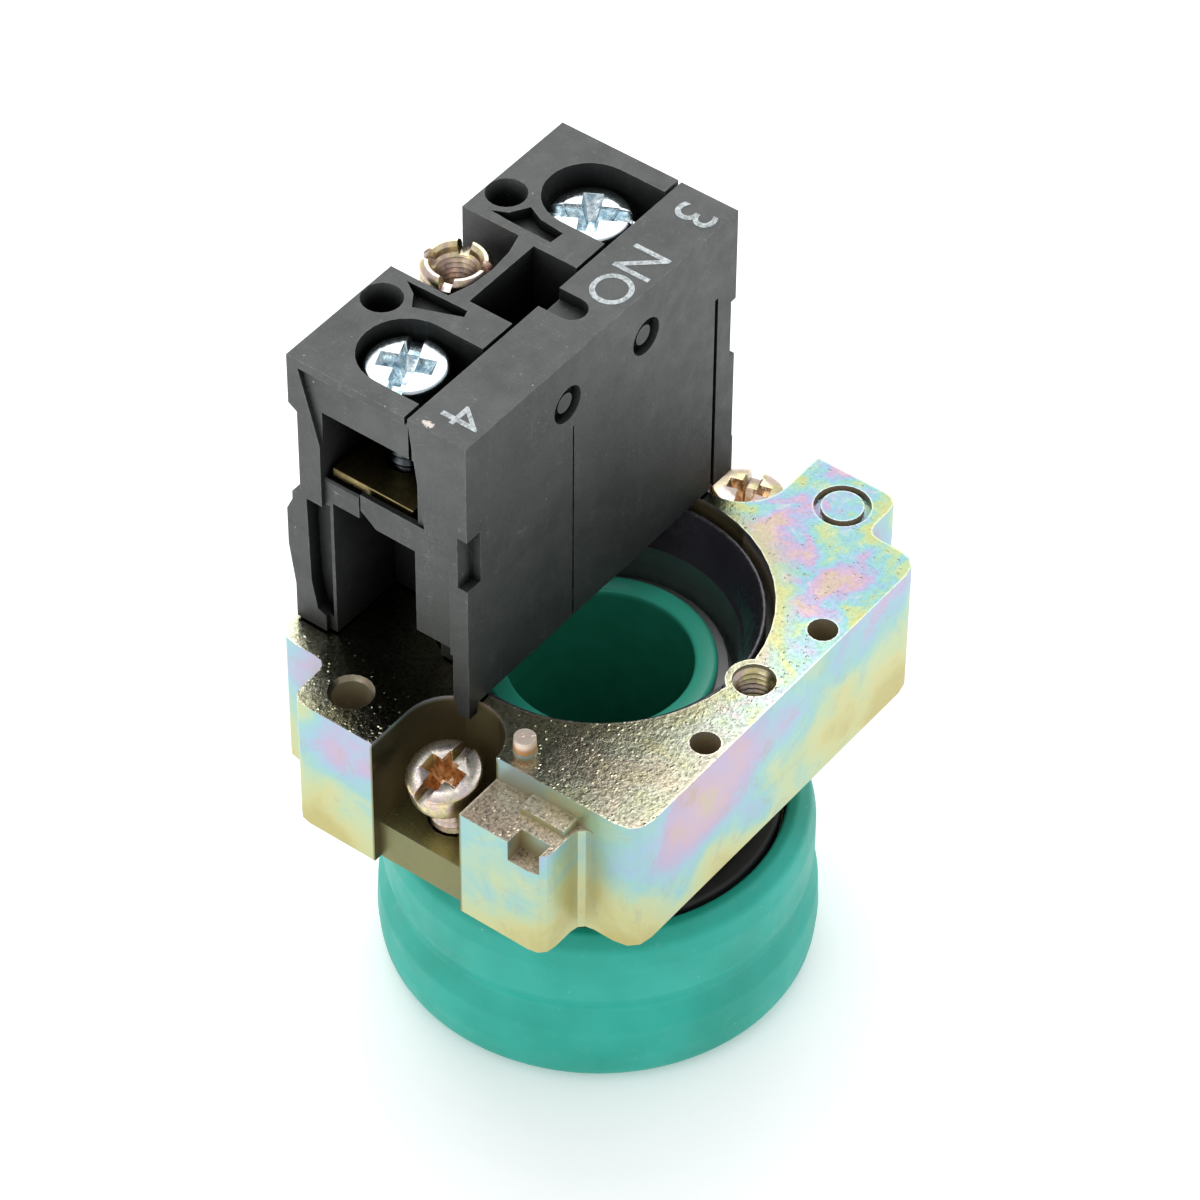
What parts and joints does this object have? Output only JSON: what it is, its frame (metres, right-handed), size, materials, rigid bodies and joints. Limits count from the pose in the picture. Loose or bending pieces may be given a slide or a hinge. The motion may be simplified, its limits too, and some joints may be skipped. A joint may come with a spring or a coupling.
{
  "type": "panel push button",
  "caption": "Spring-return panel push button with a rubber booted head, a metal clamping collar and one normally open screw-terminal contact block.",
  "frame": {"origin": "centre of the rubber boot's front face, on the button's axis", "axes": "+Z along the button's axis from the front face back towards the contact block, +X along the collar's long side towards terminal 3, +Y from the button's axis towards the block's mounting screw"},
  "size_m": [0.0398, 0.031, 0.0556],
  "materials": {
    "green_rubber": "matte moulded silicone rubber",
    "green_plastic": "satin moulded plastic",
    "black_gloss_plastic": "glossy moulded plastic",
    "black_rubber": "matte rubber",
    "black_plastic": "satin moulded plastic with light handling wear and white printed marks",
    "chromated_zinc_casting": "iridescent yellow chromate over a rough die casting",
    "yellow_zinc_steel": "iridescent yellow zinc plating",
    "bright_zinc_steel": "bright zinc plating",
    "spring_steel": "plain drawn wire and pressed steel",
    "contact_brass": "pressed brass, slightly tarnished",
    "silver_contact": "satin silver",
    "plunger_plastic": "dark self-lubricating plastic"
  },
  "bodies": {
    "housing": {"head_barrel": "black_gloss_plastic", "panel_gasket": "black_rubber", "fixing_collar": "chromated_zinc_casting", "block_base": "black_plastic", "block_cover": "black_plastic", "mounting_screw": "yellow_zinc_steel", "terminal_plate_3": "contact_brass", "terminal_plate_4": "contact_brass", "fixed_tip_3": "silver_contact", "fixed_tip_4": "silver_contact", "button_spring": "spring_steel", "plunger_spring": "spring_steel"},
    "button": {"push_button": "green_plastic", "retaining_ring": "spring_steel", "rubber_boot": "green_rubber"},
    "plunger": {"contact_plunger": "plunger_plastic", "bridge_spring": "spring_steel"},
    "bridge": {"contact_bridge": "contact_brass", "moving_tip_3": "silver_contact", "moving_tip_4": "silver_contact"},
    "terminal_3": {"terminal_screw_3": "bright_zinc_steel", "cable_clamp_3": "contact_brass"},
    "terminal_4": {"terminal_screw_4": "bright_zinc_steel", "cable_clamp_4": "contact_brass"},
    "clamp_screw_a": {"clamp_screw_a": "yellow_zinc_steel"},
    "clamp_screw_b": {"clamp_screw_b": "yellow_zinc_steel"}
  },
  "joints": [
    {"name": "press", "type": "slide", "parent": "housing", "child": "button", "axis": [0, 0, 1], "range_m": [0, 0.004], "stiffness_N_per_m": 500, "springref_m": -0.006, "deforming": ["rubber_boot", "button_spring"]},
    {"name": "plunger_lift", "type": "slide", "parent": "housing", "child": "plunger", "axis": [0, 0, 1], "range_m": [0, 0.004], "deforming": ["plunger_spring"]},
    {"name": "bridge_lift", "type": "slide", "parent": "housing", "child": "bridge", "axis": [0, 0, 1], "range_m": [0, 0.0026], "deforming": ["bridge_spring"]},
    {"name": "terminal_3_tighten", "type": "slide", "parent": "housing", "child": "terminal_3", "axis": [0, 0, -1], "range_m": [0, 0.0015]},
    {"name": "terminal_4_tighten", "type": "slide", "parent": "housing", "child": "terminal_4", "axis": [0, 0, -1], "range_m": [0, 0.0015]},
    {"name": "clamp_screw_a_advance", "type": "slide", "parent": "housing", "child": "clamp_screw_a", "axis": [0.225, 0, -0.9744], "range_m": [0, 0.0025]},
    {"name": "clamp_screw_b_advance", "type": "slide", "parent": "housing", "child": "clamp_screw_b", "axis": [-0.225, 0, -0.9744], "range_m": [0, 0.0025]}
  ],
  "couplings": [
    {"joint": "plunger_lift", "follows": "press", "ratio": 1},
    {"joint": "bridge_lift", "follows": "press", "ratio": 0.62}
  ]
}
